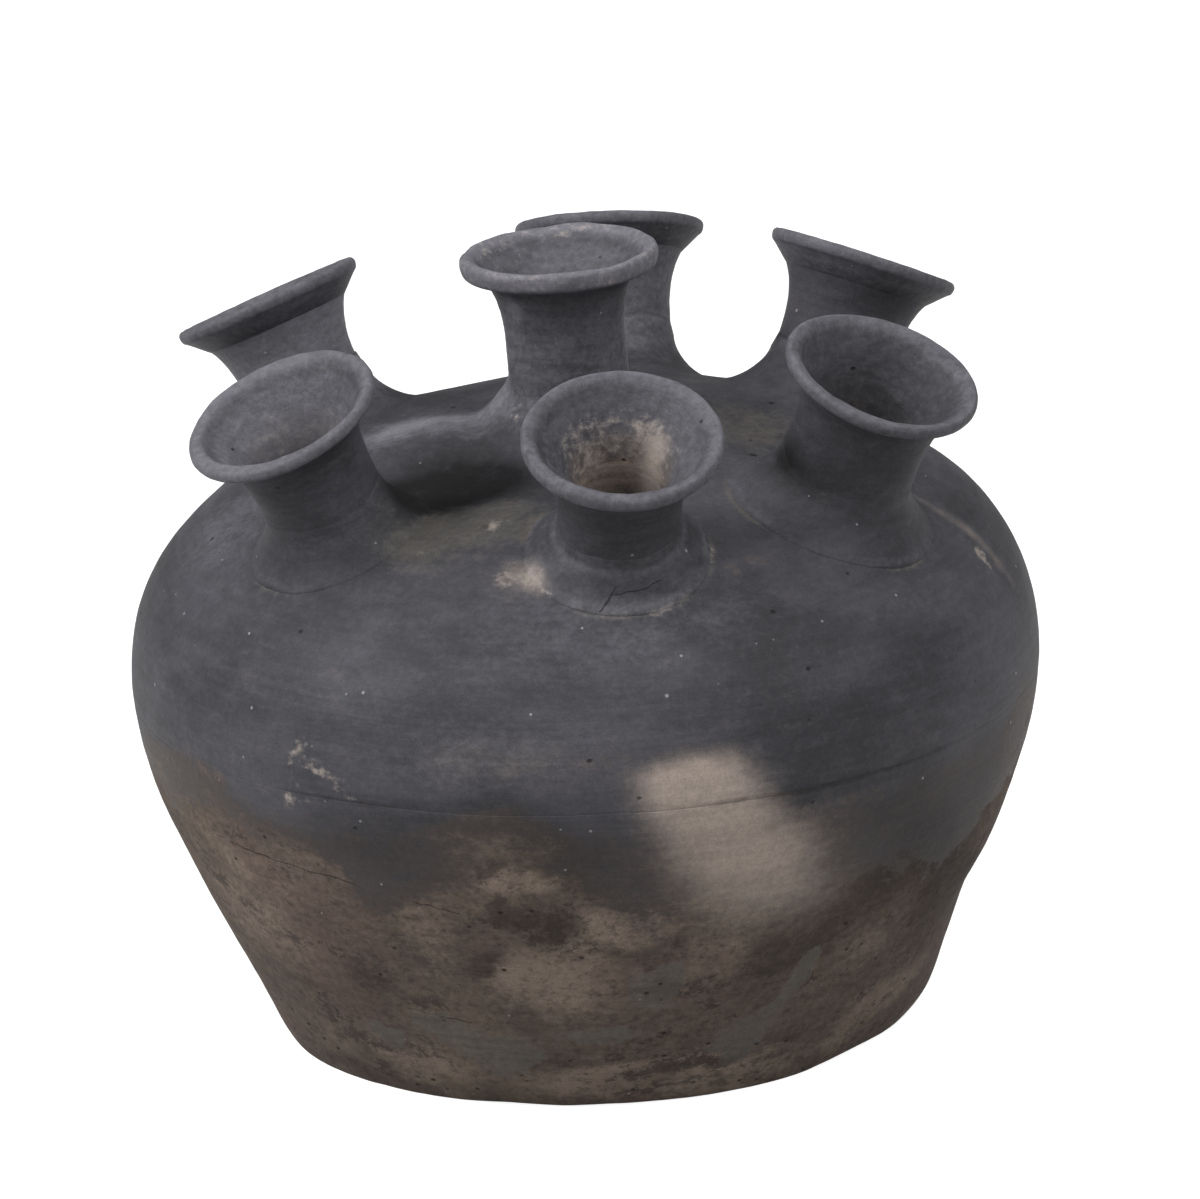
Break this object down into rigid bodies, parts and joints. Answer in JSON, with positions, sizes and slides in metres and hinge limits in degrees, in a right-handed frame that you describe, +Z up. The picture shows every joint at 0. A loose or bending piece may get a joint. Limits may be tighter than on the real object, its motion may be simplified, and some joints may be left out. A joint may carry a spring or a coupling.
{
  "type": "multi-spout vase",
  "caption": "Wide-bellied unglazed clay vase with an upright middle spout and a ring of spouts that lean outward, each with a flared mouth and a rolled lip.",
  "frame": {"origin": "centre of the foot, on the surface the vase stands on", "axes": "+Z up; the front of the vase faces -Y, with +X to the right of someone looking at the front"},
  "size_m": [0.4299, 0.43, 0.3716],
  "materials": {
    "marked_clay": "matte unglazed clay, fire-clouded in brown and grey, with pits and scratches",
    "smoked_clay": "matte unglazed smoke-blackened clay, lightly burnished in level streaks",
    "neck_clay": "matte smoke-blackened clay with throwing rings, paler inside the funnels",
    "collar_clay": "matte smoke-blackened clay wiped down by hand, dusty in the crease",
    "lip_clay": "matte smoke-blackened clay, rubbed lighter along the edge"
  },
  "bodies": {
    "root": {"lower_bowl": "marked_clay", "crown_dome": "smoked_clay", "seam_coil": "smoked_clay", "neck_centre": "neck_clay", "neck_front": "neck_clay", "neck_right_front": "neck_clay", "neck_right_rear": "neck_clay", "neck_rear": "neck_clay", "neck_left_rear": "neck_clay", "neck_left_front": "neck_clay", "collar_centre": "collar_clay", "collar_front": "collar_clay", "collar_right_front": "collar_clay", "collar_right_rear": "collar_clay", "collar_rear": "collar_clay", "collar_left_rear": "collar_clay", "collar_left_front": "collar_clay", "lip_centre": "lip_clay", "lip_front": "lip_clay", "lip_right_front": "lip_clay", "lip_right_rear": "lip_clay", "lip_rear": "lip_clay", "lip_left_rear": "lip_clay", "lip_left_front": "lip_clay"}
  },
  "joints": []
}
